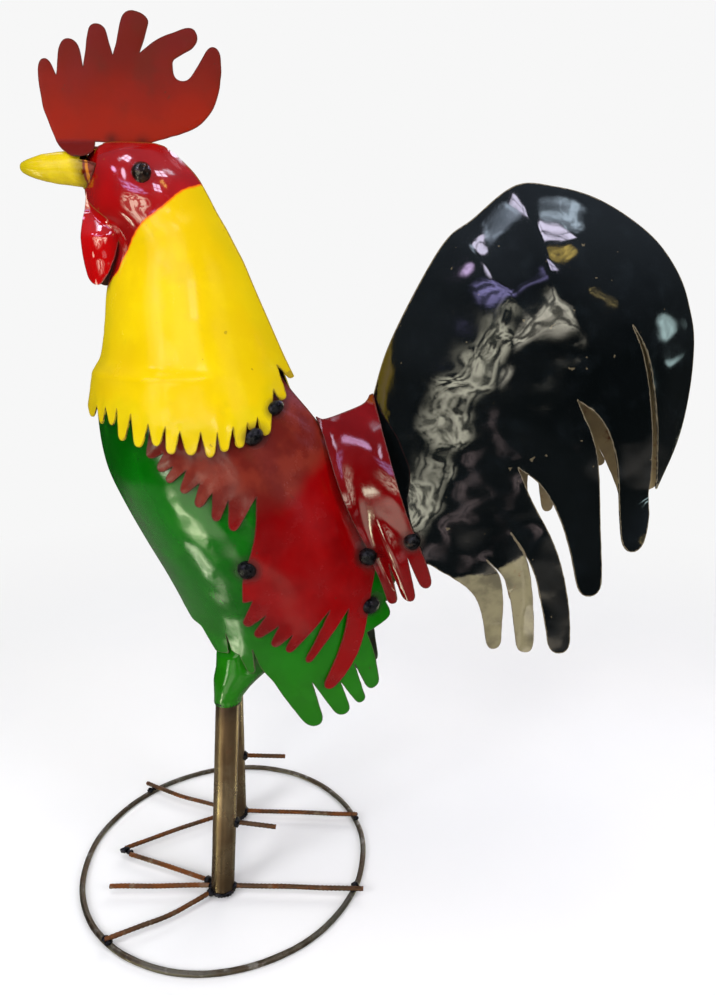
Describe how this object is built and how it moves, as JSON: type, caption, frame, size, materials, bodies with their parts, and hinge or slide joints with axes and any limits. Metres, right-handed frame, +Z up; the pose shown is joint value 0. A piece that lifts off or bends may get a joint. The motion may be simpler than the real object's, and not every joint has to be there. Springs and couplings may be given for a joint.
{
  "type": "garden rooster sculpture",
  "caption": "Standing rooster of painted sheet metal halves welded along the middle, with feathers cut as fingers, on two tube legs and a flat ring of rod",
  "frame": {"origin": "middle of the footprint's box, on the ground", "axes": "+Z is up, the bird looks along -X, its left side is -Y"},
  "size_m": [0.6496, 0.3152, 0.8761],
  "materials": {
    "comb_paint": "gloss enamel, dark red above and orange red below",
    "head_paint": "gloss red enamel",
    "neck_paint": "gloss enamel, red over the head and yellow over the neck",
    "beak_paint": "yellow enamel with green and ochre stains",
    "body_paint": "gloss green enamel over hammered sheet",
    "wing_paint": "gloss dark red enamel, browner towards the shoulder",
    "saddle_paint": "gloss deep red enamel",
    "tail_paint": "gloss black enamel, worn to beige primer at the low feathers",
    "dark_weld": "dark weld domes",
    "leg_tube": "bare drawn tube, bronze brown",
    "rod_steel": "bare rod with brown rust"
  },
  "bodies": {
    "root": {"comb": "comb_paint", "neck_left": "neck_paint", "neck_right": "neck_paint", "beak": "beak_paint", "wattle_left": "head_paint", "wattle_right": "head_paint", "body_left": "body_paint", "body_right": "body_paint", "left_thigh": "body_paint", "right_thigh": "body_paint", "wing_left": "wing_paint", "wing_right": "wing_paint", "saddle_left": "saddle_paint", "saddle_right": "saddle_paint", "tail_left": "tail_paint", "tail_right": "tail_paint", "eye_left": "dark_weld", "eye_right": "dark_weld", "neck_weld_upper_left": "dark_weld", "neck_weld_upper_right": "dark_weld", "neck_weld_lower_left": "dark_weld", "neck_weld_lower_right": "dark_weld", "wing_weld_front_left": "dark_weld", "wing_weld_front_right": "dark_weld", "saddle_weld_front_left": "dark_weld", "saddle_weld_front_right": "dark_weld", "saddle_weld_back_left": "dark_weld", "saddle_weld_back_right": "dark_weld", "wing_weld_back_left": "dark_weld", "wing_weld_back_right": "dark_weld", "left_leg": "leg_tube", "right_leg": "leg_tube", "base_ring": "rod_steel", "left_outer_toe": "rod_steel", "left_middle_toe": "rod_steel", "left_inner_toe": "rod_steel", "left_back_toe": "rod_steel", "right_outer_toe": "rod_steel", "right_inner_toe": "rod_steel", "right_back_toe": "rod_steel", "left_spur": "rod_steel", "right_spur": "rod_steel"}
  },
  "joints": []
}
